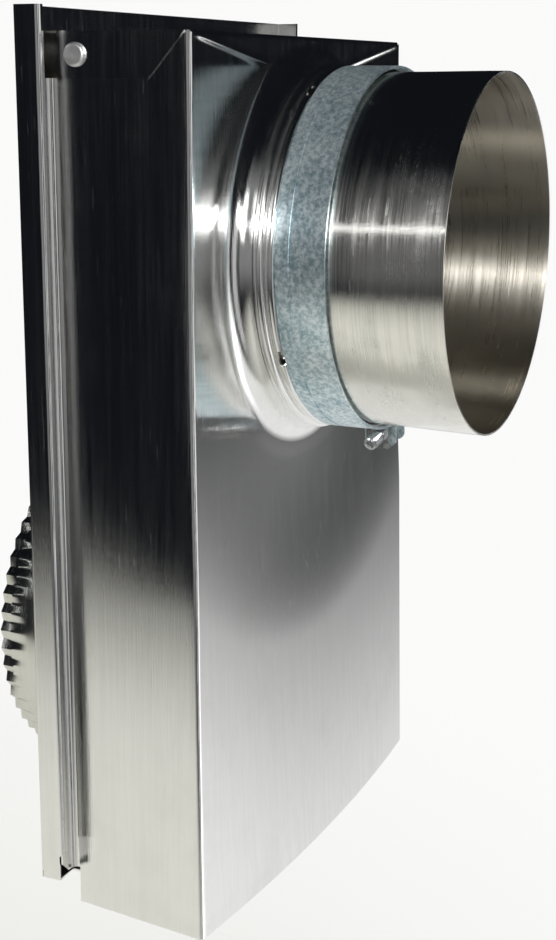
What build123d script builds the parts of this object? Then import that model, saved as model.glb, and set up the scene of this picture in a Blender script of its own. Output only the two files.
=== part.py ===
"""Periscope dryer vent: a deep front tray and a shallow rear tray that slide on each other.

The origin lies on the rear plate's back face, on the inlet collar's axis. +Y goes into the wall,
+Z is up, and the outlet sleeve points to -Y.
"""
from build123d import *
import os
from math import cos, radians, sin, sqrt

# Sheet metal and gaps, in millimetres
sheet = 0.5
slide_gap = 0.35
seat_gap = 0.05
bend_radius = 1.2

# Trays
housing_width = 149.0
side_depth = 40.0
outlet_margin = 60.6
inlet_margin = 58.4
max_offset = 127.0
end_inset = 2.5
rest_raise = 6.5

# Front tray's flanges and top tabs
flange_bend = 2.0
flange_top_cut = 12.0
flange_bottom_cut = 20.0
flange_corner = 4.0
tab_height = 12.0
tab_corner = 2.0
tab_mitre = 12.0

# Front tray's open end, which has sprung outward
sprung_height = 125.0
sprung_bow = 4.0
sprung_spread = 5.0
sprung_forward = 4.0
sprung_ease = 1.3
sprung_steps = 4

# Rear tray's rims and bottom tabs
channel_depth = 8.0
channel_reach = 7.0
lip_width = 2.2
rim_cut_back = 2.0
rim_cut_front = 9.0
end_tab_height = 12.0

# Drawn necks and collars
neck_round = 6.5
flare_angle = 50.0
bead_gap = 0.15
root_bead_width = 3.4
root_bead_height = 1.8
stop_bead_width = 2.8
stop_bead_height = 1.0

# Outlet: sleeve, slots and clamp
sleeve_radius = 50.8
sleeve_length = 76.0
sleeve_reach = 60.0
slot_count = 4
slot_width = 5.0
slot_angle = 30.0
slot_into_bead = 1.6
collar_recess = 1.5
clamp_width = 14.4
clamp_sheet = 0.8
clamp_groove_place = 3.9
clamp_groove_width = 0.7
clamp_groove_depth = 0.2
lug_angle = 8.0
ear_gap = 6.0
ear_width = 10.0
ear_corner = 2.0
ear_margin = 3.4

# Clamp screw and nut
screw_radius = 2.0
screw_tail = 6.5
screw_head_radius = 3.5
screw_head_height = 2.4
screw_slot_width = 0.9
screw_slot_depth = 1.2
screw_hole_gap = 0.25
nut_size = 7.0
nut_height = 2.4

# Inlet collar
inlet_radius = 50.5
inlet_length = 33.0
crimp_count = 54
crimp_length = 10.0
crimp_taper = 0.5
crimp_depth = 2.0

# Rivets
rivet_radius = 1.6
rivet_head_radius = 3.1
rivet_head_height = 1.2
rivet_bulb_radius = 2.4
rivet_bulb_height = 1.3
rivet_round = 0.7
rivet_from_back = 5.5
rivet_from_top = 6.0

# Planes across the depth
panel_front = -sheet
lip_front = -channel_depth
lip_back = lip_front + sheet
flange_front = lip_back + slide_gap
flange_back = flange_front + sheet
face_front = -(channel_depth + side_depth)
face_back = face_front + sheet
wall_back = flange_front - flange_bend

# Planes across the width, each side of the middle
wall_out = housing_width / 2
wall_in = wall_out - sheet
rim_out = wall_out + channel_reach
rim_in = rim_out - sheet
flange_edge = rim_in - slide_gap

# Levels
tray_height = outlet_margin + max_offset + inlet_margin
tray_bottom = -inlet_margin
housing_top = tray_bottom + tray_height - rest_raise
housing_bottom = tray_bottom - rest_raise - end_inset
outlet_level = housing_top - outlet_margin
sprung_top = housing_bottom + sprung_height

# Round sizes, from the sleeve and the inlet outward
outlet_collar_in = sleeve_radius + slide_gap
outlet_collar_out = outlet_collar_in + sheet
clamp_in = outlet_collar_out + seat_gap
clamp_out = clamp_in + clamp_sheet
screw_reach = clamp_out + nut_size / 2 + slide_gap

# Places along an outlet or inlet axis, counted outward from the sheet it stands on
root_bead_start = neck_round + bead_gap
root_bead_end = root_bead_start + root_bead_width
stop_bead_end = root_bead_end + bead_gap + stop_bead_width
clamp_start = stop_bead_end + slide_gap
clamp_end = clamp_start + clamp_width
crimp_start = inlet_length - crimp_length

# Each axis plane has its own Z pointing out of the duct, and its Y up
outlet_plane = Plane(origin=(0, face_front, outlet_level), x_dir=(1, 0, 0), z_dir=(0, -1, 0))
inlet_plane = Plane(origin=(0, 0, 0), x_dir=(-1, 0, 0), z_dir=(0, 1, 0))


def block(low, high):
    """A box between two corners."""
    size = [b - a for a, b in zip(low, high)]
    middle = [(a + b) / 2 for a, b in zip(low, high)]
    return Pos(*middle) * Box(*size)


def both_sides(solid):
    """A solid and its mirror image across the middle."""
    return solid + mirror(solid, about=Plane.YZ)


def side_plate(points, inner, outer):
    """A plate that lies across X, from an outline of (y, z) points."""
    outline = make_face(Polyline(*points, close=True))
    return extrude(Plane.YZ.offset(inner) * outline, outer - inner)


def tube(outer, inner, start, end):
    """A plain tube along Z."""
    return Pos(0, 0, start) * extrude(Circle(outer) - Circle(inner), end - start)


def quarter_ring(center, inner, outer, angle):
    """A bent strip of sheet in section: an arc band that starts at -X and turns towards -Y."""
    def at(radius, turn):
        return (center[0] - radius * cos(radians(turn)), center[1] - radius * sin(radians(turn)))

    outline = [
        ThreePointArc(at(inner, 0), at(inner, angle / 2), at(inner, angle)),
        Line(at(inner, angle), at(outer, angle)),
        ThreePointArc(at(outer, angle), at(outer, angle / 2), at(outer, 0)),
        Line(at(outer, 0), at(inner, 0)),
    ]
    return make_face(outline)


def neck_out_radius(collar_out):
    """The outside of the neck that holds a collar."""
    return collar_out + seat_gap + sheet


def neck(collar_out):
    """The sheet drawn outward round a collar, from the flat sheet to the neck's rim."""
    center = (neck_out_radius(collar_out) + neck_round, neck_round)
    section = quarter_ring(center, neck_round, neck_round + sheet, 90)
    return revolve(Plane.XZ * section, Axis.Z)


def neck_hole(collar_out):
    """What the neck's draw takes out of the flat sheet."""
    radius = neck_out_radius(collar_out) + neck_round
    return Pos(0, 0, -sheet / 2) * Cylinder(radius, 2 * sheet)


def bead(collar_out, start, width, height):
    """A rolled bead in section, as wide as the given stretch of the collar."""
    def arch(radius):
        return ThreePointArc((radius, start), (radius + height, start + width / 2), (radius, start + width))

    collar_in = collar_out - sheet
    sides = [Line((collar_in, z), (collar_out, z)) for z in (start, start + width)]
    return make_face([arch(collar_in), arch(collar_out), *sides])


def collar(collar_out, end):
    """A collar: flared behind its neck, straight through it, then two rolled beads and a plain end."""
    collar_in = collar_out - sheet
    center = (neck_out_radius(collar_out) + neck_round, neck_round)
    flare_in = neck_round + sheet + seat_gap
    section = quarter_ring(center, flare_in, flare_in + sheet, flare_angle)
    stop_bead_start = root_bead_end + bead_gap
    for start, stop in (
        (neck_round, root_bead_start),
        (root_bead_end, stop_bead_start),
        (stop_bead_end, end),
    ):
        section += Pos((collar_in + collar_out) / 2, (start + stop) / 2) * Rectangle(sheet, stop - start)
    section += bead(collar_out, root_bead_start, root_bead_width, root_bead_height)
    section += bead(collar_out, stop_bead_start, stop_bead_width, stop_bead_height)
    return revolve(Plane.XZ * section, Axis.Z)


def housing_section(level, inset):
    """The front tray's outline at one level, moved inward by inset, with its open end's spring."""
    share = max(0.0, (sprung_top - level) / sprung_height) ** sprung_ease
    side = wall_out + sprung_spread * share - inset
    front = face_front - sprung_forward * share + inset
    bow = sprung_bow * share
    back = wall_back + 2 * inset
    corners = [(-side, front), (-(wall_out - inset), back), (wall_out - inset, back), (side, front)]
    if bow > 0:
        face_line = ThreePointArc(corners[3], (0, front - bow), corners[0])
    else:
        face_line = Line(corners[3], corners[0])
    outline = make_face([Polyline(*corners), face_line])
    outline = fillet(outline.vertices().group_by(Axis.Y)[0], bend_radius - inset)
    return Pos(0, 0, level) * outline


def housing_block(inset):
    """The front tray's outside or inside as a solid: straight above, sprung outward below."""
    upper = extrude(housing_section(sprung_top, inset), housing_top - sprung_top)
    step = sprung_height / sprung_steps
    levels = [housing_bottom + step * i for i in range(sprung_steps + 1)]
    lower = loft([housing_section(level, inset) for level in levels])
    return upper + lower


def housing_flange():
    """One flange: turned out of the side wall's back edge, with its corners cut."""
    bend = quarter_ring((wall_out + flange_bend, wall_back), flange_bend, flange_bend + sheet, -90)
    reach = flange_edge - wall_out - flange_bend
    middle = (flange_edge - reach / 2, (flange_front + flange_back) / 2)
    section = bend + Pos(*middle) * Rectangle(reach, sheet)
    low = housing_bottom + flange_bottom_cut
    high = housing_top - flange_top_cut
    strip = extrude(Plane.XY.offset(low) * section, high - low)
    corners = strip.edges().filter_by(Axis.Y).group_by(Axis.X)[-1]
    return chamfer(corners, flange_corner)


def make_front_housing():
    """Front tray: one folded sheet with a drawn neck, two flanges and a closed top end."""
    tray = housing_block(0) - housing_block(sheet)
    end_low = (-wall_out, face_front + bend_radius, housing_top - sheet)
    end_high = (wall_out, panel_front - slide_gap, housing_top)
    tray += block(end_low, end_high)
    fold_low = (-wall_in, face_front, housing_top - 2 * bend_radius)
    fold_high = (wall_in, face_front + 2 * bend_radius, housing_top)
    fold = block(fold_low, fold_high)
    fold -= block(
        (-wall_in, face_back, housing_top - 2 * bend_radius),
        (wall_in, face_front + 2 * bend_radius, housing_top - sheet),
    )
    tray += fold
    tray += both_sides(housing_flange())
    tab_low = housing_top - tab_height
    tab = side_plate(
        [
            (wall_back, housing_top),
            (wall_back, tab_low + tab_corner),
            (wall_back - tab_corner, tab_low),
            (face_front + tab_mitre, tab_low),
            (face_front + bend_radius, housing_top),
        ],
        wall_out,
        wall_out + sheet,
    )
    hole = rivet_hole()
    tray += both_sides(tab)
    tray -= both_sides(hole)
    tray -= outlet_plane * neck_hole(outlet_collar_out)
    tray += outlet_plane * neck(outlet_collar_out)
    return tray


def rivet_frame():
    """The rivet's own place on the right-hand tab, with its Z pointing out of the tab."""
    place = (wall_out + sheet, wall_back - rivet_from_back, housing_top - rivet_from_top)
    return Pos(*place) * Rot(0, 90, 0)


def rivet_hole():
    """The hole for one rivet, through tab and wall."""
    grip = 2 * sheet
    return rivet_frame() * (Pos(0, 0, -grip / 2) * Cylinder(rivet_radius + seat_gap, 3 * grip))


def make_tab_rivets():
    """Two rivets: a flat-topped head outside, and the set end inside the wall."""
    grip = 2 * sheet
    head = extrude(Circle(rivet_head_radius), rivet_head_height)
    head = fillet(head.edges().group_by(Axis.Z)[-1], rivet_round)
    bulb = Pos(0, 0, -grip) * extrude(Circle(rivet_bulb_radius), -rivet_bulb_height)
    bulb = fillet(bulb.edges().group_by(Axis.Z)[0], rivet_round)
    shank = Pos(0, 0, -grip / 2) * Cylinder(rivet_radius, grip)
    rivet = rivet_frame() * (head + bulb + shank)
    return Compound(children=[rivet, mirror(rivet, about=Plane.YZ)])


def make_outlet_collar():
    """Outlet collar: slotted under the clamp, so that the band can close it on the sleeve."""
    end = clamp_end - collar_recess
    ring = collar(outlet_collar_out, end)
    slot_start = stop_bead_end - slot_into_bead
    slot_low = (-slot_width / 2, outlet_collar_in - sheet, slot_start)
    slot_high = (slot_width / 2, outlet_collar_out + 2 * stop_bead_height, end + sheet)
    slot = block(slot_low, slot_high)
    for i in range(slot_count):
        ring -= Rot(0, 0, slot_angle + 360 / slot_count * i) * slot
    return outlet_plane * ring


def make_extension_sleeve():
    """Plain sleeve that slides in the outlet collar."""
    inner_end = sleeve_reach - sleeve_length
    return outlet_plane * tube(sleeve_radius, sleeve_radius - sheet, inner_end, sleeve_reach)


def lug_frame():
    """The clamp's own place: its ears hang below the outlet, turned a little to the right."""
    return outlet_plane.location * Rot(0, 0, lug_angle)


def ear_outside():
    """How far the outer face of an ear stands from the middle of the gap."""
    return ear_gap / 2 + clamp_sheet


def ear_place():
    """Where the middle of the ears lies along the outlet axis."""
    return clamp_end - ear_width / 2


def make_clamp_band():
    """Clamp band: a ring with a shallow groove, open at the ears, which are turned outward."""
    band = tube(clamp_out, clamp_in, clamp_start, clamp_end)
    groove_start = clamp_start + clamp_groove_place
    groove = tube(
        clamp_out + sheet, clamp_out - clamp_groove_depth, groove_start, groove_start + clamp_groove_width
    )
    band -= groove
    ear_end = screw_reach + ear_margin
    opening_low = (-ear_gap / 2, -clamp_out - sheet, clamp_start - sheet)
    opening_high = (ear_gap / 2, -clamp_in / 2, clamp_end + sheet)
    band -= block(opening_low, opening_high)
    root = sqrt(clamp_in**2 - (ear_gap / 2) ** 2)
    ear_low = (ear_gap / 2, -ear_end, ear_place() - ear_width / 2)
    ear_high = (ear_outside(), -root, ear_place() + ear_width / 2)
    ear = block(ear_low, ear_high)
    ear = fillet(ear.edges().filter_by(Axis.X).group_by(Axis.Y)[0], ear_corner)
    hole = Pos(0, -screw_reach, ear_place()) * Rot(0, 90, 0) * Cylinder(
        screw_radius + screw_hole_gap, 4 * ear_outside()
    )
    band += both_sides(ear)
    band -= tube(clamp_in, clamp_in / 2, clamp_start - sheet, clamp_end + sheet)
    return lug_frame() * (band - hole)


def screw_frame():
    """The screw's own place: on the ears' axis, its Z pointing from its tip to its head."""
    return lug_frame() * Pos(0, -screw_reach, ear_place()) * Rot(0, 90, 0)


def make_clamp_screw():
    """Screw with a slotted head, through both ears and the nut."""
    seat = ear_outside() + seat_gap
    tip = -(ear_outside() + seat_gap + nut_height + screw_tail)
    head = Pos(0, 0, seat) * extrude(Circle(screw_head_radius), screw_head_height)
    head = fillet(head.edges().group_by(Axis.Z)[-1], screw_head_height / 3)
    top = seat + screw_head_height
    head -= block(
        (-screw_head_radius, -screw_slot_width / 2, top - screw_slot_depth),
        (screw_head_radius, screw_slot_width / 2, top + sheet),
    )
    shank = Pos(0, 0, tip) * extrude(Circle(screw_radius), seat - tip)
    shank = chamfer(shank.edges().group_by(Axis.Z)[0], screw_radius / 4)
    return screw_frame() * (head + shank)


def make_clamp_nut():
    """Square nut against the ear on the screw's tip side."""
    nut = extrude(Rectangle(nut_size, nut_size) - Circle(screw_radius + seat_gap), -nut_height)
    return screw_frame() * (Pos(0, 0, -(ear_outside() + seat_gap)) * nut)


def make_rear_tray():
    """Rear tray: one folded sheet with a drawn neck, two C-shaped rims and the bottom end wall."""
    depth = -lip_front
    outside = Pos(0, -depth / 2) * Rectangle(2 * rim_out, depth)
    outside = fillet(outside.vertices(), bend_radius)
    hollow_depth = panel_front - lip_back
    hollow = Pos(0, (panel_front + lip_back) / 2) * Rectangle(2 * rim_in, hollow_depth)
    hollow = fillet(hollow.vertices(), bend_radius - sheet)
    mouth = Pos(0, lip_front) * Rectangle(2 * (rim_out - lip_width), depth)
    tray = extrude(Plane.XY.offset(tray_bottom) * (outside - hollow - mouth), tray_height)
    cut = side_plate(
        [
            (panel_front, tray_bottom - sheet),
            (panel_front, tray_bottom + rim_cut_back),
            (lip_front, tray_bottom + rim_cut_front),
            (lip_front - sheet, tray_bottom + rim_cut_front),
            (lip_front - sheet, tray_bottom - sheet),
        ],
        rim_out - lip_width - sheet,
        rim_out + sheet,
    )
    tray -= both_sides(cut)
    end_half = wall_in - slide_gap
    end_front = face_back + slide_gap
    wing_front = flange_back + slide_gap
    tray += block((-end_half, end_front, tray_bottom), (end_half, panel_front, tray_bottom + sheet))
    tray += block((-rim_in, wing_front, tray_bottom), (rim_in, panel_front, tray_bottom + sheet))
    tab = block(
        (rim_in - sheet, wing_front, tray_bottom),
        (rim_in, panel_front, tray_bottom + end_tab_height),
    )
    tray += both_sides(tab)
    tray -= inlet_plane * neck_hole(inlet_radius)
    tray += inlet_plane * neck(inlet_radius)
    return tray


def crimp_outline(level, ridge, valley):
    """A pleated ring: ridges and valleys in turn, at one place along the inlet axis."""
    turn = 180 / crimp_count
    points = []
    for i in range(2 * crimp_count):
        radius = valley if i % 2 else ridge
        angle = radians(turn * i)
        points.append((radius * cos(angle), radius * sin(angle)))
    return Pos(0, 0, level) * make_face(Polyline(*points, close=True))


def crimp_block(inset):
    """The crimped end's outside or inside: round where it starts, pleated where it ends."""
    plain = inlet_radius - inset
    start = crimp_outline(crimp_start, plain, plain)
    end = crimp_outline(inlet_length, plain - crimp_taper, plain - crimp_depth)
    return loft([start, end], ruled=True)


def make_inlet_collar():
    """Inlet collar: beaded like the outlet's, with a crimped end that plugs into a pipe."""
    ring = collar(inlet_radius, crimp_start)
    ring += crimp_block(0) - crimp_block(sheet)
    return inlet_plane * ring


nodes = {
    "front_housing": make_front_housing(),
    "tab_rivets": make_tab_rivets(),
    "outlet_collar": make_outlet_collar(),
    "extension_sleeve": make_extension_sleeve(),
    "clamp_band": make_clamp_band(),
    "clamp_screw": make_clamp_screw(),
    "clamp_nut": make_clamp_nut(),
    "rear_tray": make_rear_tray(),
    "inlet_collar": make_inlet_collar(),
}

os.makedirs("parts", exist_ok=True)
for name, solid in nodes.items():
    export_step(solid, f"parts/{name}.step")
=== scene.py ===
"""Looks of the periscope dryer vent: bright rolled aluminium sheet and a galvanised clamp."""
from math import asin, cos, exp, hypot, pi, radians, sin

import bmesh
import bpy
from mathutils import Matrix, Vector


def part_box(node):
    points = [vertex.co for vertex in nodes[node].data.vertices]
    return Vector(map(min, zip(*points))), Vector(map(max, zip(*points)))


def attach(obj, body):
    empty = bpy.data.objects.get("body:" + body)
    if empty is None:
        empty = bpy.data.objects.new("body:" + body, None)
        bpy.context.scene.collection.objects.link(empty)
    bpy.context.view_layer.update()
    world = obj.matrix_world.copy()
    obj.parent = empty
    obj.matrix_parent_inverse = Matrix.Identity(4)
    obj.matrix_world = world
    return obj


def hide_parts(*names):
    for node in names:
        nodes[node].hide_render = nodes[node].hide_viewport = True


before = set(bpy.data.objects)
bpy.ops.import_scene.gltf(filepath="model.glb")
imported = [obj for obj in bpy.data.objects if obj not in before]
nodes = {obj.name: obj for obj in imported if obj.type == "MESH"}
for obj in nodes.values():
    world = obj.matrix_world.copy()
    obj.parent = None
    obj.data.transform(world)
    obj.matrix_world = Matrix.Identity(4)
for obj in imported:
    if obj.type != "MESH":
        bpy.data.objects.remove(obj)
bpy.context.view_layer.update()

# Units: lengths below are in millimetres, and a mesh is scaled to metres when it is made
MM = 0.001

# Slack for comparing two places
tiny = 1e-6


def node_box(name):
    """A CAD node's lowest and highest corners in millimetres."""
    low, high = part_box(name)
    return [c / MM for c in low], [c / MM for c in high]


# Sheet metal
sheet = 0.5
bend_radius = 1.2
tab_lift = 0.05

# Front tray, from its own box, the sleeve's and the rear tray's
housing_low, housing_high = node_box("front_housing")
sleeve_low, sleeve_high = node_box("extension_sleeve")
rear_edge = node_box("rear_tray")[1][0]
housing_top, housing_bottom = housing_high[2], housing_low[2]
flange_edge = housing_high[0]
end_back = housing_high[1]
outlet_level = (sleeve_low[2] + sleeve_high[2]) / 2
channel_reach, slide_gap, channel_depth = 7.0, 0.35, 8.0
wall_out = rear_edge - channel_reach
flange_front = -channel_depth + sheet + slide_gap
flange_bend = 2.0
wall_back = flange_front - flange_bend
face_front = -48.0
flange_top_cut, flange_bottom_cut, flange_corner = 12.0, 11.0, 3.0
tab_height, tab_corner, tab_mitre = 12.0, 2.0, 12.0

# Spring of the front tray's open end: spread and lean at its foot, and a bow that eases in from a height
sprung_spread, sprung_forward = 5.0, 4.0
sprung_height, sprung_bow, sprung_ease = 125.0, 4.0, 1.3

# Necks, collars, sleeve and clamp: radii, and places along the axis counted outward from the sheet
neck_round = 6.5
seat_gap = 0.05
flare_angle = 50.0
bead_gap = 0.15
root_bead_width, root_bead_height = 3.4, 1.8
stop_bead_width, stop_bead_height = 2.8, 1.0
sleeve_radius = (sleeve_high[2] - sleeve_low[2]) / 2
outlet_collar_out = sleeve_radius + slide_gap + sheet
slot_count, slot_width, slot_angle, slot_into_bead = 4, 5.0, 30.0, 1.6
clamp_sheet, clamp_width, collar_recess = 0.8, 14.4, 1.5
inlet_radius, inlet_length = 50.5, 33.0
crimp_count, crimp_length, crimp_taper, crimp_depth = 54, 10.0, 0.5, 2.0
root_bead_start = neck_round + bead_gap
root_bead_end = root_bead_start + root_bead_width
stop_bead_start = root_bead_end + bead_gap
stop_bead_end = stop_bead_start + stop_bead_width
clamp_start = stop_bead_end + slide_gap
clamp_end = clamp_start + clamp_width
crimp_start = inlet_length - crimp_length


# Mesh tools

def spaced(low, high, step, extra=()):
    """Values from one end to the other about a step apart, with the extra ones among them."""
    if low > high:
        return spaced(high, low, step, extra)[::-1]
    marks = sorted({low, high, *(e for e in extra if low < e < high)})
    values = [low]
    for a, b in zip(marks, marks[1:]):
        count = max(1, round((b - a) / step))
        values += [a + (b - a) * (i + 1) / count for i in range(count)]
    return values


def smooth_step(low, high, value):
    """0 below low, 1 above high and smooth between."""
    t = min(1.0, max(0.0, (value - low) / (high - low)))
    return t * t * (3 - 2 * t)


class Skin:
    """One face of a sheet, built from grids of points that are joined where they meet."""

    def __init__(self):
        self.points, self.faces, self.known = [], [], {}

    @staticmethod
    def key(point):
        """Points that agree to a thousandth of a millimetre are one."""
        return tuple(round(c, 3) for c in point)

    def at(self, point):
        """The number of a point, which is added if it is new."""
        key = self.key(point)
        if key not in self.known:
            self.known[key] = len(self.points)
            self.points.append(tuple(point))
        return self.known[key]

    def grid(self, rows, closed=False, skip=None):
        """Quads between rows of points; skip(i, j) leaves a quad out."""
        ids = [[self.at(p) for p in row] for row in rows]
        for i, (a, b) in enumerate(zip(ids, ids[1:])):
            count = len(a) if closed else len(a) - 1
            for j in range(count):
                k = (j + 1) % len(a)
                quad = [a[j], a[k], b[k], b[j]]
                corners = list(dict.fromkeys(quad))
                if len(corners) > 2 and not (skip and skip(i, j)):
                    self.faces.append(corners)

    def move(self, change):
        """Puts every point where change(point) says."""
        self.points = [change(p) for p in self.points]
        self.known = {self.key(p): i for i, p in enumerate(self.points)}


def bake(piece, modifier):
    """Gives a piece the mesh that its modifier makes."""
    seen = piece.evaluated_get(bpy.context.evaluated_depsgraph_get())
    plain, made = piece.data, bpy.data.meshes.new_from_object(seen)
    piece.modifiers.remove(modifier)
    piece.data = made
    bpy.data.meshes.remove(plain)
    made.name = piece.name


def keep_edges(mesh, sharp):
    """Smooth shading that breaks at edges sharper than the given angle."""
    work = bmesh.new()
    work.from_mesh(mesh)
    for face in work.faces:
        face.smooth = True
    for edge in work.edges:
        edge.smooth = len(edge.link_faces) == 2 and edge.calc_face_angle(0) < radians(sharp)
    work.to_mesh(mesh)
    work.free()


def make_piece(name, skin, node, body, material, thickness=0.0, cutter=None, sharp=35.0):
    """A skin as a finished piece: thickened inward or cut, smooth, with its edges kept sharp."""
    mesh = bpy.data.meshes.new(name)
    mesh.from_pydata([[c * MM for c in p] for p in skin.points], [], skin.faces)
    piece = bpy.data.objects.new(name, mesh)
    bpy.context.scene.collection.objects.link(piece)
    work = bmesh.new()
    work.from_mesh(mesh)
    bmesh.ops.recalc_face_normals(work, faces=work.faces)
    work.to_mesh(mesh)
    work.free()
    if thickness:
        shell = piece.modifiers.new("thickness", "SOLIDIFY")
        shell.thickness, shell.offset, shell.use_even_offset = thickness * MM, -1, True
        bake(piece, shell)
    if cutter:
        cut = piece.modifiers.new("cut", "BOOLEAN")
        cut.object, cut.operation, cut.solver = cutter, "DIFFERENCE", "EXACT"
        bake(piece, cut)
        bpy.data.objects.remove(cutter)
    keep_edges(piece.data, sharp)
    piece.data.materials.clear()
    piece.data.materials.append(material)
    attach(piece, body)
    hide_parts(node)


def around(axis_level, front, outward):
    """A function from (radius, angle, place) to a point; angle 0 points to +X and goes up."""
    def place(radius, angle, along):
        return (radius * cos(angle), front + outward * along, axis_level + radius * sin(angle))
    return place


def quarter(steps):
    """Angles of a quarter turn, from 0 to 90 degrees."""
    return [radians(90 * i / steps) for i in range(steps + 1)]


# Front tray

face_half = wall_out - bend_radius
square_low = housing_bottom + sprung_height
square_high = housing_top - bend_radius
neck_out = outlet_collar_out + seat_gap + sheet
root_radius = neck_out + neck_round
flange_low, flange_high = housing_bottom + flange_bottom_cut, housing_top - flange_top_cut
tab_out = wall_out + sheet + tab_lift

# Fineness of its mesh; rings crowd towards the neck by a power
face_step, wall_step, tab_step = 1.3, 2.4, 1.0
radial_steps, bend_steps, neck_steps, flange_steps = 54, 6, 12, 3
ring_crowding = 1.15

# The neck holds the sheet round it flat, and the spring grows over this distance from it
neck_hold = 60.0

# Shallow waves: heights, wavelengths over two pi along x and z, and how far from the neck they begin
face_wave, face_wave_x, face_wave_z, face_wave_start_x, face_wave_start_z = 0.06, 21, 33, 0.7, 1.1
face_roll, face_roll_x, face_roll_z = 0.05, 37, 45
wave_clearance = 6
wall_wave, wall_wave_z = 0.12, 23
dent_depth = -30

# Creases that run down from the upper corners towards the neck
crease_height, crease_width = 0.20, 0.9
crease_drop, crease_slope, crease_inset, crease_clearance = 1.2, 0.165, 5, 1.5
crease_fade_start, crease_fade_end = 68, 75


def face_dents(x, z):
    """How far the front sheet stands out of flat, towards the front."""
    from_axis = hypot(x, z - outlet_level)
    clear = smooth_step(root_radius, root_radius + wave_clearance, from_axis)
    wave = face_wave * sin(x / face_wave_x + face_wave_start_x) * sin(z / face_wave_z + face_wave_start_z)
    wave += face_roll * sin(x / face_roll_x - z / face_roll_z)
    crease_level = housing_top - crease_drop - crease_slope * (wall_out - crease_inset - abs(x))
    over = z - crease_level
    fold = crease_height * exp(-((over / crease_width) ** 2))
    fold *= smooth_step(root_radius, root_radius + crease_clearance, from_axis)
    fold *= 1 - smooth_step(crease_fade_start, crease_fade_end, abs(x))
    return clear * wave + fold


def dented(point):
    """The front sheet's dents, which die out along the walls."""
    x, y, z = point
    return x, y - face_dents(x, z) * smooth_step(dent_depth, face_front, y), z


def sprung(point):
    """The sheet's spring: walls that spread from the top down, and a face that leans forward and bows."""
    x, y, z = point
    drop = min(1.0, max(0.0, (housing_top - z) / (housing_top - housing_bottom)))
    low = max(0.0, (housing_bottom + sprung_height - z) / sprung_height) ** sprung_ease
    depth = min(1.0, max(0.0, (wall_back - y) / (wall_back - face_front)))
    free = depth * smooth_step(root_radius, root_radius + neck_hold, hypot(x, z - outlet_level))
    inward = x / wall_out
    wave = wall_wave * sin(z / wall_wave_z) * sin(pi * depth) * (1 if abs(x) > face_half else 0)
    side = x + free * drop * sprung_spread * inward - wave * (1 if x > 0 else -1)
    front = y - free * (drop * sprung_forward + low * sprung_bow * max(0.0, 1 - inward**2))
    return side, front, z


def tray_walls(skin, levels):
    """Both walls with their bends to the face, and the flanges turned out from their back edges."""
    wall = [(wall_out, y) for y in spaced(wall_back, face_front + bend_radius, wall_step)]
    for turn in quarter(bend_steps)[1:]:
        wall.append((face_half + bend_radius * cos(turn), face_front + bend_radius - bend_radius * sin(turn)))
    wall_top = housing_top - sheet - tab_lift
    flange_levels = [z for z in levels if flange_low - tiny <= z <= flange_high + tiny]
    for side in (-1, 1):
        skin.grid([[(side * x, y, z) for x, y in wall] for z in levels + [wall_top]])
        rows = []
        for z in flange_levels:
            cut = max(0.0, flange_corner - (z - flange_low), flange_corner - (flange_high - z))
            row = []
            for turn in quarter(bend_steps):
                row.append((wall_out + flange_bend * (1 - cos(turn)), wall_back + flange_bend * sin(turn)))
            start, stop = wall_out + flange_bend, flange_edge - cut
            for i in range(1, flange_steps + 1):
                row.append((start + (stop - start) * i / flange_steps, flange_front))
            rows.append([(side * x, y, z) for x, y in row])
        skin.grid(rows)


def tray_face(skin, columns, low_levels, high_levels):
    """The face below the neck, then rings from the neck's rim out to a square round it."""
    skin.grid([[(x, face_front, z) for x in columns] for z in low_levels])
    border = [(x, square_low) for x in columns]
    border += [(face_half, z) for z in high_levels[1:]]
    border += [(x, square_high) for x in columns[-2::-1]]
    border += [(-face_half, z) for z in high_levels[-2:0:-1]]
    spokes = [(x, z - outlet_level, hypot(x, z - outlet_level)) for x, z in border]
    rings = []
    for turn in quarter(neck_steps)[:-1]:
        radius = root_radius - neck_round * cos(turn)
        out = neck_round - neck_round * sin(turn)
        rings.append([
            (x / reach * radius, face_front - out, outlet_level + rise / reach * radius)
            for x, rise, reach in spokes
        ])
    for i in range(radial_steps + 1):
        share = (i / radial_steps) ** ring_crowding
        ring = []
        for x, rise, reach in spokes:
            stretch = share + (1 - share) * root_radius / reach
            ring.append((x * stretch, face_front, outlet_level + rise * stretch))
        rings.append(ring)
    skin.grid(rings, closed=True)


def tray_end(skin, columns):
    """The top end, turned back from the face, and its side tabs turned down over the walls."""
    rows = []
    for turn in quarter(bend_steps)[:-1]:
        rows.append([(x, face_front + bend_radius * (1 - cos(turn)) - face_dents(x, square_high) * cos(turn),
                      square_high + bend_radius * sin(turn)) for x in columns])
    rows.append([(x, face_front + bend_radius, housing_top) for x in columns])
    skin.grid(rows)
    tab_depths = spaced(wall_back, face_front + bend_radius, wall_step)
    end_depths = tab_depths[::-1] + spaced(wall_back, end_back, wall_step)[1:]
    end_columns = [-tab_out + tab_lift, *columns, tab_out - tab_lift]
    skin.grid([[(x, y, housing_top) for x in end_columns] for y in end_depths])
    tab_low = housing_top - tab_height
    tab_levels = spaced(tab_low, housing_top, tab_step, (tab_low + tab_corner,))
    for side in (-1, 1):
        rows = []
        for z in tab_levels:
            drop = (housing_top - z) / tab_height
            out = tab_out - (tab_lift if drop == 0 else 0)
            front = face_front + bend_radius + (tab_mitre - bend_radius) * drop
            back = wall_back - max(0.0, tab_corner - (z - housing_top + tab_height))
            row = []
            for y in tab_depths:
                share = (y - wall_back) / (face_front + bend_radius - wall_back)
                row.append((side * out, back + (front - back) * share, z))
            rows.append(row)
        skin.grid(rows)


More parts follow.
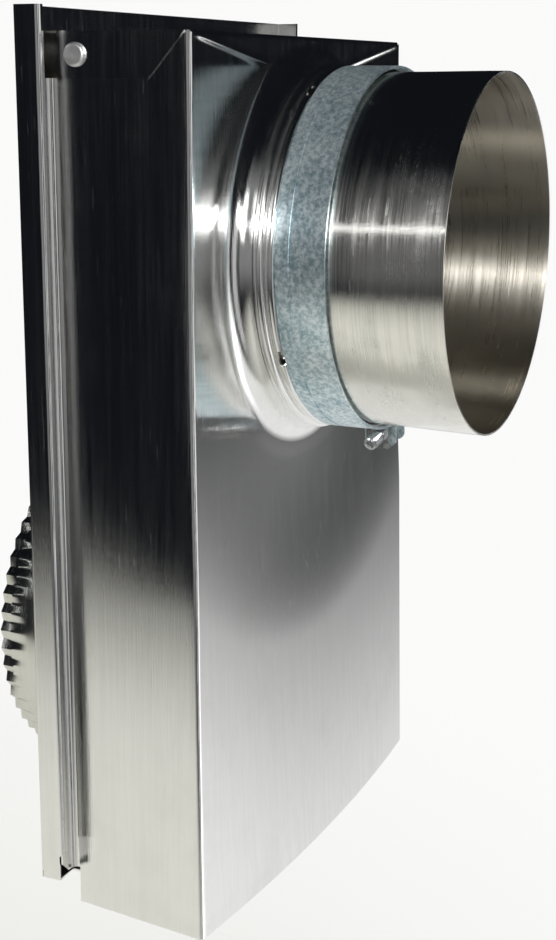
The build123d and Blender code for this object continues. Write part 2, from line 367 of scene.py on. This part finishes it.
def make_front_tray(material):
    """Front tray: walls, flanges, face with its drawn neck, top end and the tabs turned down from it."""
    skin = Skin()
    columns = spaced(-face_half, face_half, face_step)
    low_levels = spaced(housing_bottom, square_low, wall_step, (flange_low, flange_low + flange_corner))
    high_levels = spaced(square_low, square_high, face_step, (flange_high - flange_corner, flange_high))
    tray_walls(skin, low_levels + high_levels[1:])
    tray_face(skin, columns, low_levels, high_levels)
    skin.move(dented)
    tray_end(skin, columns)
    skin.move(sprung)
    make_piece("front_tray", skin, "front_housing", "front_section", material, sheet)


# Collars and sleeve

# Fineness of their meshes, and the room that a slot's end needs between two points of the bead
flare_steps, bead_steps, collar_step = 8, 10, 2.0
slot_arc_points, slot_room = 48, 0.15
crimp_points, crimp_steps = 8, 12
sleeve_points, sleeve_step = 256, 1.5

# The stop bead's height where a slot begins, as a share of its full height
slot_bead_share = 0.86

# The sleeve's open end is out of round by these amounts, from this depth outward
free_depth = -78
two_lobes, three_lobes, seven_lobes = -0.45, 0.12, 0.05


def arc_profile(start, width, height, base):
    """A rolled bead: an arc from base that rises by height over a width."""
    radius = (width * width / 4 + height * height) / (2 * height)
    half = asin(width / 2 / radius)
    places = []
    for i in range(bead_steps + 1):
        turn = -half + 2 * half * i / bead_steps
        places.append((base + height - radius * (1 - cos(turn)), start + width / 2 + radius * sin(turn)))
    return places


def collar_profile(collar_out):
    """A collar's outer line as (radius, place): the flare behind the neck, the neck, then two beads."""
    center = collar_out + seat_gap + sheet + neck_round
    inside = neck_round + sheet + seat_gap
    profile = []
    for i in range(flare_steps + 1):
        turn = radians(flare_angle * (1 - i / flare_steps))
        profile.append((center - inside * cos(turn), neck_round - inside * sin(turn)))
    profile += arc_profile(root_bead_start, root_bead_width, root_bead_height, collar_out)
    profile += arc_profile(stop_bead_start, stop_bead_width, stop_bead_height, collar_out)
    return profile


def make_outlet_collar(material):
    """Outlet collar with its slotted end."""
    slot_start = stop_bead_end - slot_into_bead
    profile = [p for p in collar_profile(outlet_collar_out) if abs(p[1] - slot_start) > slot_room]
    profile.append((outlet_collar_out + stop_bead_height * slot_bead_share, slot_start))
    profile.sort(key=lambda p: p[1])
    end = clamp_end - collar_recess
    profile += [(outlet_collar_out, z) for z in spaced(stop_bead_end, end, collar_step)[1:]]
    place = around(outlet_level, face_front, -1)
    half = slot_width / 2 / outlet_collar_out
    angles = []
    for i in range(slot_count):
        middle = radians(90 + slot_angle + 360 / slot_count * i)
        angles += [middle - half, middle + half]
        following = middle + 2 * pi / slot_count - half
        for k in range(1, slot_arc_points):
            angles.append(middle + half + (following - middle - half) * k / slot_arc_points)
    per_slot = len(angles) // slot_count
    skin = Skin()
    skin.grid(
        [[place(radius, a, along) for a in angles] for radius, along in profile], closed=True,
        skip=lambda i, j: profile[i][1] >= slot_start - tiny and j % per_slot == 0,
    )
    make_piece(
        "outlet_collar_ring", skin, "outlet_collar", "front_section", material, sheet
    )


def make_inlet_collar(material):
    """Inlet collar with its crimped end."""
    place = around(0, 0, 1)
    count = crimp_count * crimp_points
    profile = collar_profile(inlet_radius)
    profile += [(inlet_radius, z) for z in spaced(stop_bead_end, crimp_start, collar_step)[1:]]
    rows = [[place(radius, 2 * pi * i / count, along) for i in range(count)] for radius, along in profile]
    for k in range(1, crimp_steps + 1):
        share = k / crimp_steps
        row = []
        for i in range(count):
            pleat = abs((i % crimp_points) / crimp_points * 2 - 1)
            radius = inlet_radius - share * (crimp_taper + (crimp_depth - crimp_taper) * pleat)
            row.append(place(radius, 2 * pi * i / count, crimp_start + crimp_length * share))
        rows.append(row)
    skin = Skin()
    skin.grid(rows, closed=True)
    make_piece("inlet_collar_ring", skin, "inlet_collar", "rear_section", material, sheet)


def make_sleeve(material):
    """Plain sleeve that slides in the outlet collar, a little out of round at its open end."""
    place = around(outlet_level, 0, 1)
    open_end, inner_end = sleeve_low[1], sleeve_high[1]
    rows = []
    for along in spaced(inner_end, open_end, sleeve_step):
        free = smooth_step(free_depth, open_end, along)
        row = []
        for i in range(sleeve_points):
            angle = 2 * pi * i / sleeve_points
            oval = two_lobes * cos(2 * angle) + three_lobes * sin(3 * angle + 1)
            oval += seven_lobes * sin(7 * angle)
            row.append(place(sleeve_radius + free * oval, angle, along))
        rows.append(row)
    skin = Skin()
    skin.grid(rows, closed=True)
    make_piece("sleeve_tube", skin, "extension_sleeve", "sleeve", material, sheet)


# Clamp screw, along an axis through both ears

lug_angle = radians(8.0)
ear_gap, ear_width = 6.0, 10.0
screw_radius, screw_tail = 2.0, 6.5
thread_pitch, thread_depth, flank_slope, crest_share = 0.7, 0.4, 2.4, 0.1
plain_neck, thread_runout = 0.6, 1.0
tip_length, tip_taper = 0.8, 0.5
head_radius, head_height, head_round = 3.5, 2.4, 0.5
driver_width, driver_depth, driver_length = 0.9, 1.2, 20
screw_points, thread_steps, head_steps = 32, 8, 5
screw_reach = outlet_collar_out + seat_gap + clamp_sheet + head_radius + slide_gap
screw_depth = face_front - (clamp_end - ear_width / 2)
screw_level = outlet_level - screw_reach * cos(lug_angle)
screw_axis = Vector((cos(lug_angle), 0, sin(lug_angle)))
screw_middle = Vector((screw_reach * sin(lug_angle), screw_depth, screw_level))
depth_axis = Vector((0, 1, 0))
cross_axis = screw_axis.cross(depth_axis)


def on_screw(radius, angle, along):
    """A point by its distance from the screw's axis, its angle about it and its place along it."""
    return screw_middle + screw_axis * along + (cross_axis * cos(angle) + depth_axis * sin(angle)) * radius


def slot_cutter(along):
    """The block that cuts the driver's slot, longer than the head is wide."""
    bpy.ops.mesh.primitive_cube_add(size=MM)
    cutter = bpy.context.object
    turned = Matrix((screw_axis, depth_axis, cross_axis)).transposed().to_4x4()
    size = Matrix.Diagonal((2 * driver_depth, driver_length, driver_width, 1))
    cutter.matrix_world = Matrix.Translation(on_screw(0, 0, along) * MM) @ turned @ size
    return cutter


def make_screw(material):
    """Clamp screw with a cut thread and a slotted head."""
    seat = ear_gap / 2 + clamp_sheet + seat_gap
    tip = -(seat + head_height + screw_tail)
    head_top = seat + head_height
    thread_end = seat - plain_neck
    turns = [2 * pi * i / screw_points for i in range(screw_points)]
    rows = [[on_screw(0, a, tip) for a in turns]]
    for along in spaced(tip, thread_end, thread_pitch / thread_steps):
        taper = smooth_step(tip, tip + tip_length, along)
        runout = 1 - smooth_step(thread_end - thread_runout, thread_end, along)
        row = []
        for angle in turns:
            phase = (along / thread_pitch + angle / (2 * pi)) % 1
            groove = thread_depth * min(1.0, max(0.0, flank_slope * abs(phase - 0.5) - crest_share))
            radius = screw_radius - runout * groove - tip_taper * (1 - taper)
            row.append(on_screw(radius, angle, along))
        rows.append(row)
    outline = [(screw_radius, seat), (head_radius, seat), (head_radius, head_top - head_round)]
    for turn in quarter(head_steps)[1:]:
        outline.append((head_radius - head_round * (1 - cos(turn)), head_top - head_round * (1 - sin(turn))))
    outline.append((0, head_top))
    rows += [[on_screw(radius, a, along) for a in turns] for radius, along in outline]
    skin = Skin()
    skin.grid(rows, closed=True)
    make_piece(
        "clamp_screw_thread", skin, "clamp_screw", "clamp_screw", material,
        cutter=slot_cutter(head_top),
    )


# Materials

class Tree:
    """Short calls for building one node tree."""

    def __init__(self, tree):
        self.tree = tree

    def add(self, kind, settings=None, **inputs):
        """A new node; settings are its own values, and inputs are numbers or other nodes' outputs."""
        node = self.tree.nodes.new(kind)
        for name, value in (settings or {}).items():
            setattr(node, name, value)
        for name, value in inputs.items():
            self.put(node, name, value)
        return node

    def put(self, node, name, value):
        """Sets or links an input, given by its name or its number."""
        socket = node.inputs[int(name)] if name.isdigit() else node.inputs[name]
        if isinstance(value, bpy.types.NodeSocket):
            self.tree.links.new(value, socket)
        else:
            socket.default_value = value

    def math(self, operation, a, b=0.0, c=0.0):
        """A number worked out from up to three others."""
        node = self.tree.nodes.new("ShaderNodeMath")
        node.operation = operation
        for i, value in enumerate((a, b, c)):
            self.put(node, str(i), value)
        return node.outputs[0]

    def vector(self, operation, a, b=None):
        """A vector node's outputs, from one or two vectors."""
        node = self.add("ShaderNodeVectorMath", {"operation": operation})
        self.put(node, "0", a)
        if b is not None:
            self.put(node, "1", b)
        return node.outputs

    def span(self, value, from_low, from_high, to_low=0.0, to_high=1.0, kind="SMOOTHSTEP"):
        """A value carried from one range to another, held at the ends."""
        node = self.tree.nodes.new("ShaderNodeMapRange")
        node.interpolation_type = kind
        for name, number in zip(("Value", "From Min", "From Max", "To Min", "To Max"),
                                (value, from_low, from_high, to_low, to_high)):
            self.put(node, name, number)
        return node.outputs["Result"]

    def mix(self, factor, a, b):
        """Colour a where factor is 0, and b where it is 1."""
        node = self.tree.nodes.new("ShaderNodeMix")
        node.data_type = "RGBA"
        for name, value in (("0", factor), ("6", a), ("7", b)):
            self.put(node, name, value)
        return node.outputs[2]

    def noise(self, vector, scale, detail=2.0, roughness=0.5):
        """Cloudy noise from 0 to 1."""
        node = self.add("ShaderNodeTexNoise", Vector=vector, Scale=scale, Detail=detail, Roughness=roughness)
        return node.outputs["Fac"]

    def stretch(self, vector, factors):
        """Coordinates multiplied along each axis."""
        return self.add("ShaderNodeMapping", Vector=vector, Scale=factors).outputs[0]

    def bump(self, shader, height, strength, distance):
        """Relief on a shader's surface; the distance is in metres."""
        node = self.add("ShaderNodeBump", Strength=strength, Distance=distance, Height=height)
        self.put(shader, "Normal", node.outputs[0])


def new_material(name):
    """A material with its tree, its shader and its object coordinates."""
    material = bpy.data.materials.new(name)
    material.use_nodes = True
    tree = Tree(material.node_tree)
    shader = material.node_tree.nodes["Principled BSDF"]
    place = tree.add("ShaderNodeTexCoord").outputs["Object"]
    return material, tree, shader, place


# Rolled sheet: its lines are given as how fine they are along x, y and z, in waves to a metre. Fine and broad
# lines are finer and coarser than that, and a scratch is as narrow as a line but shorter
fine_lines, broad_lines, scratch_lines, narrow_from = 2.6, 0.5, 8, 100
fine_share, broad_share = 0.55, 0.45
cloud_stain, streak_stain = 0.35, 0.2
scratch_rough, scratch_depth = 0.08, 0.6
relief_distance = 0.0002


def rolled_metal(name, colour, stain, roughness, smudge, lines, tangent_axis, anisotropy, turn, rough_shaded_inside=None):
    """Bright rolled sheet: fine lines along the rolling direction, short scratches and faint smudges.

    A tube's inside, which is rougher and has painted shade, is given as its axis level in metres, how much
    rougher it is, and the darker colour of its painted shade.
    """
    material, tree, shader, place = new_material(name)
    fine_place = tree.stretch(place, [fine_lines * n for n in lines])
    fine = tree.math("MULTIPLY", tree.noise(fine_place, scale=1.0, detail=3.0, roughness=0.6), fine_share)
    broad_place = tree.stretch(place, [broad_lines * n for n in lines])
    broad = tree.math("MULTIPLY", tree.noise(broad_place, scale=1.0), broad_share)
    streak = tree.span(tree.math("ADD", fine, broad), 0.34, 0.66)
    cloud = tree.span(tree.noise(place, scale=34.0, detail=7.0, roughness=0.7), 0.45, 0.78)
    short = [n if n > narrow_from else scratch_lines * n for n in lines]
    scratch = tree.span(tree.noise(tree.stretch(place, short), scale=1.0, detail=0.0), 0.79, 0.83)
    shade = tree.mix(tree.math("MULTIPLY", cloud, cloud_stain), (*colour, 1), (*stain, 1))
    shade = tree.mix(tree.math("MULTIPLY", streak, streak_stain), shade, (*stain, 1))
    rough = tree.math("MULTIPLY_ADD", streak, roughness[1] - roughness[0], roughness[0])
    rough = tree.math("MULTIPLY_ADD", cloud, smudge, rough)
    rough = tree.math("MULTIPLY_ADD", scratch, scratch_rough, rough)
    if rough_shaded_inside:
        level, rougher, inside_painted_shade = rough_shaded_inside
        spoke = tree.add("ShaderNodeMapping", Vector=place, Location=(0, 0, -level), Scale=(1, 0, 1))
        normal = tree.add("ShaderNodeNewGeometry").outputs["Normal"]
        facing = tree.vector("DOT_PRODUCT", spoke.outputs[0], normal)["Value"]
        inside = tree.math("LESS_THAN", facing, 0.0)
        rough = tree.math("MULTIPLY_ADD", inside, rougher, rough)
        # Painted shade: faces inside the tube take a darker olive colour that stands in for the shade within
        # it
        shade = tree.mix(inside, shade, (*inside_painted_shade, 1))
    tree.put(shader, "Base Color", shade)
    tree.put(shader, "Roughness", rough)
    height = tree.math("MULTIPLY_ADD", scratch, -scratch_depth, streak)
    tree.bump(shader, height, strength=0.06, distance=relief_distance)
    tangent = tree.add("ShaderNodeTangent", {"direction_type": "RADIAL", "axis": tangent_axis})
    tree.put(shader, "Tangent", tangent.outputs[0])
    for socket, value in (("Metallic", 1.0), ("Anisotropic", anisotropy), ("Anisotropic Rotation", turn)):
        shader.inputs[socket].default_value = value
    return material


# Galvanised zinc and plating
fleck_share, cloud_share = 0.7, 0.3
zinc_dark, zinc_light = (0.28, 0.42, 0.47), (0.88, 0.97, 1.0)
zinc_roughness, zinc_metallic = (0.30, 0.37), 0.86
mark_shade, mark_distance = 0.8, 0.0001


def spangled_zinc(name):
    """Galvanised band: bluish grey, with fine zinc flecks of differing tone and shine."""
    material, tree, shader, place = new_material(name)
    fleck = tree.span(tree.noise(place, scale=700.0, detail=4.0, roughness=0.75), 0.36, 0.64)
    cloud = tree.span(tree.noise(place, scale=90.0, detail=4.0, roughness=0.6), 0.3, 0.7)
    tone = tree.math("MULTIPLY_ADD", fleck, fleck_share, tree.math("MULTIPLY", cloud, cloud_share))
    tree.put(shader, "Base Color", tree.mix(tone, (*zinc_dark, 1), (*zinc_light, 1)))
    tree.put(shader, "Roughness", tree.span(fleck, 0.0, 1.0, *zinc_roughness, "LINEAR"))
    tree.bump(shader, tone, strength=0.03, distance=relief_distance)
    shader.inputs["Metallic"].default_value = zinc_metallic
    return material


def plated(name, colour, roughness):
    """Plated hardware and rivets: even metal with light handling marks."""
    material, tree, shader, place = new_material(name)
    marks = tree.noise(place, scale=700.0, detail=3.0, roughness=0.55)
    tree.put(shader, "Base Color", tree.mix(marks, (*[mark_shade * c for c in colour], 1), (*colour, 1)))
    tree.put(shader, "Roughness", tree.span(marks, 0.3, 0.7, *roughness))
    tree.bump(shader, marks, strength=0.05, distance=mark_distance)
    shader.inputs["Metallic"].default_value = 1.0
    return material


def paint(name, material):
    """Gives a CAD node its material."""
    nodes[name].data.materials.clear()
    nodes[name].data.materials.append(material)


# A tube's lines run round it, so its stretch of gloss is a quarter turn from a tray's
upright_lines, round_lines = (1000, 1000, 14), (16, 1000, 16)
round_turn = 0.25
bright, stained = (0.91, 0.91, 0.90), (0.70, 0.70, 0.68)
tray_metal = rolled_metal(
    "tray_aluminium", bright, stained, roughness=(0.07, 0.15), smudge=0.05,
    lines=upright_lines, tangent_axis="Z", anisotropy=0.5, turn=0.0,
)
collar_metal = rolled_metal(
    "collar_aluminium", bright, stained, roughness=(0.09, 0.22), smudge=0.06,
    lines=round_lines, tangent_axis="Y", anisotropy=0.6, turn=round_turn,
)
sleeve_metal = rolled_metal(
    "sleeve_aluminium", (0.90, 0.885, 0.84), stained, roughness=(0.10, 0.24), smudge=0.16,
    lines=round_lines, tangent_axis="Y", anisotropy=0.95, turn=round_turn,
    # Inside the sleeve: 0.15 rougher, and a darker colour painted on as the shade inside the tube
    rough_shaded_inside=(outlet_level * MM, 0.15, (0.62, 0.59, 0.52)),
)
zinc_band = spangled_zinc("galvanised_band")
inlet_metal = rolled_metal(
    "inlet_aluminium", (0.74, 0.74, 0.70), (0.52, 0.52, 0.49), roughness=(0.12, 0.26), smudge=0.08,
    lines=round_lines, tangent_axis="Y", anisotropy=0.6, turn=round_turn,
)
zinc_plate = plated("zinc_plate", (0.66, 0.67, 0.68), roughness=(0.16, 0.30))
rivet_metal = plated("rivet_aluminium", (0.88, 0.88, 0.88), roughness=(0.40, 0.52))

make_front_tray(tray_metal)
make_outlet_collar(collar_metal)
make_inlet_collar(inlet_metal)
make_sleeve(sleeve_metal)
make_screw(zinc_plate)
paint("rear_tray", tray_metal)
paint("clamp_band", zinc_band)
paint("clamp_nut", zinc_plate)
paint("tab_rivets", rivet_metal)


# Floor, light and camera

# The floor lies just below the front tray's lowest pose: that drop is in millimetres, and its other sizes are
# in metres. It is shown fainter to the camera than the metal mirrors it
slide_down, floor_gap = 120.5, 0.5
floor_half, floor_seen = 1.2, 0.45
floor_middle, floor_plain, floor_end = (-0.20, 0.25), 0.20, 0.66
floor_colour, floor_roughness, floor_gloss = (0.80, 0.795, 0.73), 0.7, 0.2

# Light from above, in metres and watts
overhead_size, overhead_power, overhead_place = 1.6, 22.5, (0.03, -0.22, 1.3)

# Soft boxes round the vent: azimuth from +Y towards +X, half width, lower and upper elevation, the softness
# of their sides, lower and upper edges, and strength; angles in degrees
soft_boxes = {
    "left_strip": (-65, 40, 16.8, 17.3, 12, 0.5, 0.5, 3.2),
    "left_glow": (-100, 24, -5, 36, 9, 25, 25, 0.20),
    "front_lamp": (-130, 14, 15, 18, 8, 1.5, 1.5, 44.0),
    "front_side": (-150, 8, -40, 12, 5, 15, 10, 0.5),
    "front_edge": (160, 18, -30, 4, 10, 10, 5, 0.7),
    "neck_spot": (-114, 7, 12, 28, 5, 8, 10, 2.2),
    "right_band": (115, 30, -6.3, -4.9, 12, 0.4, 1.0, 1.9),
    "right_haze": (115, 30, -6.3, -3.6, 12, 0.4, 3.0, 0.12),
    "right_low": (115, 60, -90, -27, 20, 1, 19, 0.80),
    "right_base": (115, 60, -90, -9, 20, 1, 6, 0.04),
}
room_tone = (0.005, 0.006, 0.008)
backdrop = (0.96, 0.96, 0.955)


def make_floor():
    """Plain pale floor below the front tray's lowest pose, which fades into the backdrop."""
    mesh = bpy.data.meshes.new("floor")
    level = (housing_bottom - slide_down - floor_gap) * MM
    corners = [(x * floor_half, y * floor_half, level) for x, y in ((-1, -1), (1, -1), (1, 1), (-1, 1))]
    mesh.from_pydata(corners, [], [(0, 1, 2, 3)])
    floor = bpy.data.objects.new("floor", mesh)
    bpy.context.scene.collection.objects.link(floor)
    material, tree, shader, place = new_material("floor_pale")
    shader.inputs["Base Color"].default_value = (*floor_colour, 1)
    shader.inputs["Roughness"].default_value = floor_roughness
    shader.inputs["Specular IOR Level"].default_value = floor_gloss
    shift = (-floor_middle[0], -floor_middle[1], 0)
    flat = tree.add("ShaderNodeMapping", Vector=place, Location=shift, Scale=(1, 1, 0))
    reach = tree.vector("LENGTH", flat.outputs[0])["Value"]
    fade = tree.span(reach, floor_plain, floor_end, 1.0, 0.0)
    direct = tree.add("ShaderNodeLightPath").outputs["Is Camera Ray"]
    faint = tree.math("MULTIPLY_ADD", direct, floor_seen - 1, 1.0)
    tree.put(shader, "Alpha", tree.math("MULTIPLY", fade, faint))
    mesh.materials.append(material)


def make_world():
    """A dark room with soft boxes for the metal to mirror, and a plain pale backdrop behind the vent."""
    world = bpy.data.worlds.new("studio")
    bpy.context.scene.world = world
    world.use_nodes = True
    tree = Tree(world.node_tree)
    room = world.node_tree.nodes["Background"]
    way = tree.add("ShaderNodeTexCoord").outputs["Generated"]
    split = tree.add("ShaderNodeSeparateXYZ", Vector=way)
    elevation = tree.math("DEGREES", tree.math("ARCSINE", split.outputs["Z"]))
    total = 0.0
    for azimuth, half, low, high, side_soft, low_soft, high_soft, strength in soft_boxes.values():
        aim = radians(azimuth)
        ahead = tree.vector("DOT_PRODUCT", way, (sin(aim), cos(aim), 0))["Value"]
        aside = tree.vector("DOT_PRODUCT", way, (cos(aim), -sin(aim), 0))["Value"]
        turn = tree.math("DEGREES", tree.math("ARCTAN2", aside, ahead))
        light = tree.span(tree.math("ABSOLUTE", turn), half, half + side_soft, strength, 0.0)
        light = tree.math("MULTIPLY", light, tree.span(elevation, low - low_soft, low))
        light = tree.math("MULTIPLY", light, tree.span(elevation, high, high + high_soft, 1.0, 0.0))
        total = tree.math("ADD", total, light)
    lit = tree.add("ShaderNodeCombineColor", Red=total, Green=total, Blue=total).outputs[0]
    tree.put(room, "Color", tree.vector("ADD", lit, room_tone)["Vector"])
    plain = tree.add("ShaderNodeBackground", Color=(*backdrop, 1))
    choice = tree.add("ShaderNodeMixShader")
    tree.put(choice, "0", tree.add("ShaderNodeLightPath").outputs["Is Camera Ray"])
    tree.put(choice, "1", room.outputs[0])
    tree.put(choice, "2", plain.outputs[0])
    tree.put(world.node_tree.nodes["World Output"], "Surface", choice.outputs[0])


def make_lights():
    """A large soft light over the vent, for the floor."""
    data = bpy.data.lights.new("overhead", "AREA")
    data.shape, data.size, data.energy = "DISK", overhead_size, overhead_power
    light = bpy.data.objects.new("overhead", data)
    light.location = overhead_place
    light.visible_glossy = False
    bpy.context.scene.collection.objects.link(light)


def make_camera():
    """Camera at the photograph's angle; the frame is 556 by 940 pixels."""
    image_width, image_height = 556, 940
    focal_pixels, middle_x, middle_y = 1609.8, 277.6, 471.9
    position = (-0.44344, -0.24289, 0.16901)
    azimuth, elevation, roll = radians(65.23), radians(-13.70), radians(-0.22)
    forward = Vector((sin(azimuth) * cos(elevation), cos(azimuth) * cos(elevation), sin(elevation)))
    right = Vector((cos(azimuth), -sin(azimuth), 0))
    down = forward.cross(right)
    level_right = cos(roll) * right + sin(roll) * down
    level_down = cos(roll) * down - sin(roll) * right
    data = bpy.data.cameras.new("camera")
    data.sensor_width = 36.0
    data.lens = focal_pixels * data.sensor_width / image_height
    data.shift_x = (image_width / 2 - middle_x) / image_height
    data.shift_y = (middle_y - image_height / 2) / image_height
    data.clip_start = 0.01
    camera = bpy.data.objects.new("camera", data)
    camera.matrix_world = Matrix((
        (level_right.x, -level_down.x, -forward.x, position[0]),
        (level_right.y, -level_down.y, -forward.y, position[1]),
        (level_right.z, -level_down.z, -forward.z, position[2]),
        (0, 0, 0, 1),
    ))
    bpy.context.scene.collection.objects.link(camera)
    bpy.context.scene.camera = camera


bpy.context.scene.view_settings.view_transform = "Standard"
make_floor()
make_world()
make_lights()
make_camera()
